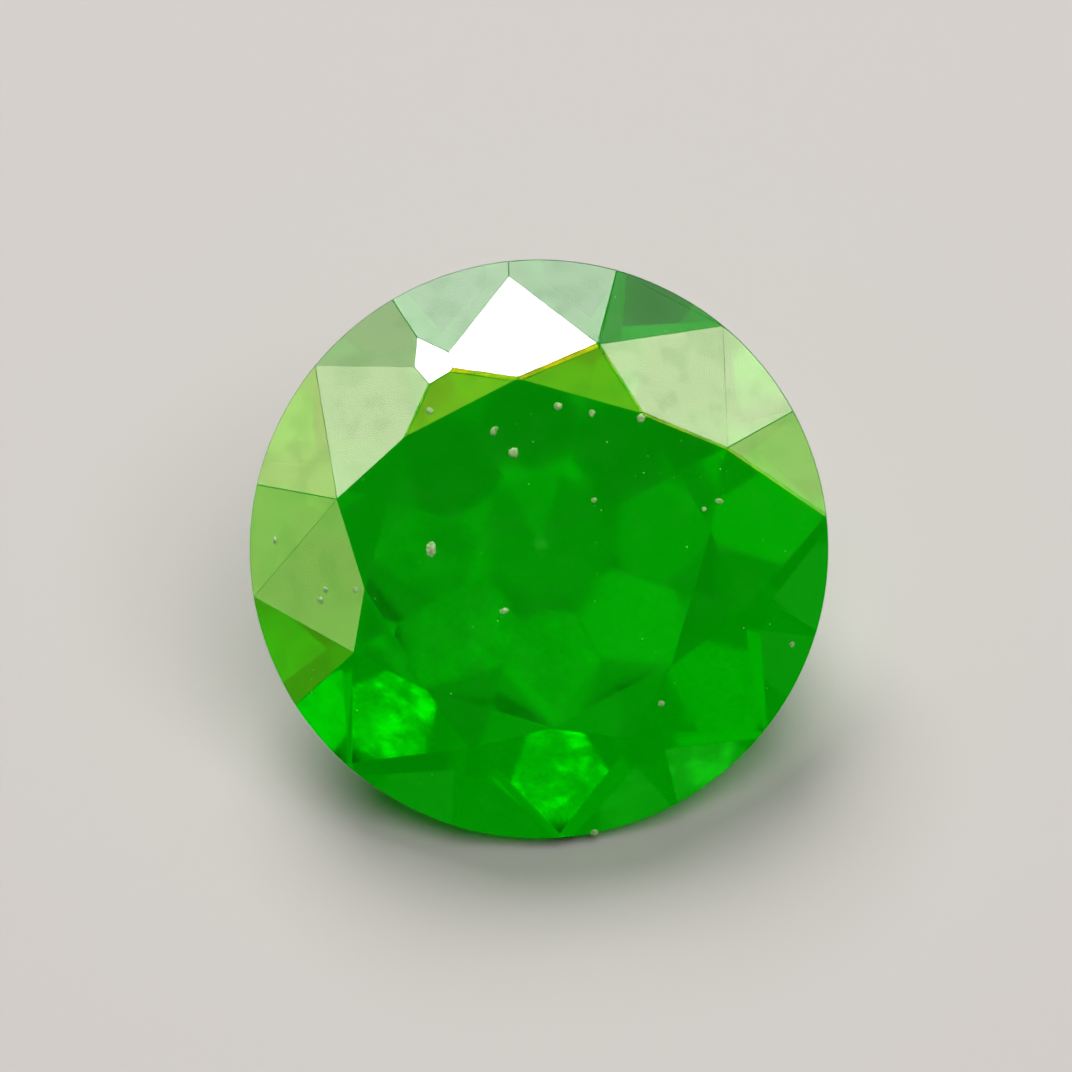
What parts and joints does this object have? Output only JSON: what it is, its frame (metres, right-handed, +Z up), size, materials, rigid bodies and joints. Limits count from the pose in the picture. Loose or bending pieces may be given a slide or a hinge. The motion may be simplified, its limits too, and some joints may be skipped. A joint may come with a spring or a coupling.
{
  "type": "faceted demantoid garnet",
  "caption": "Round brilliant-cut green demantoid garnet, lying on one facet of its pavilion with its crown leaning forward.",
  "frame": {"origin": "on the surface that the stone lies on, under the middle of its bounding box", "axes": "+Z up, away from the surface; the crown and table lean towards -Y; +X along the girdle's widest line, from left to right as the table faces the viewer"},
  "size_m": [0.003, 0.0024, 0.002],
  "materials": {
    "garnet": "polished facets, clear deep green stone"
  },
  "bodies": {
    "root": {"demantoid_garnet": "garnet"}
  },
  "joints": []
}
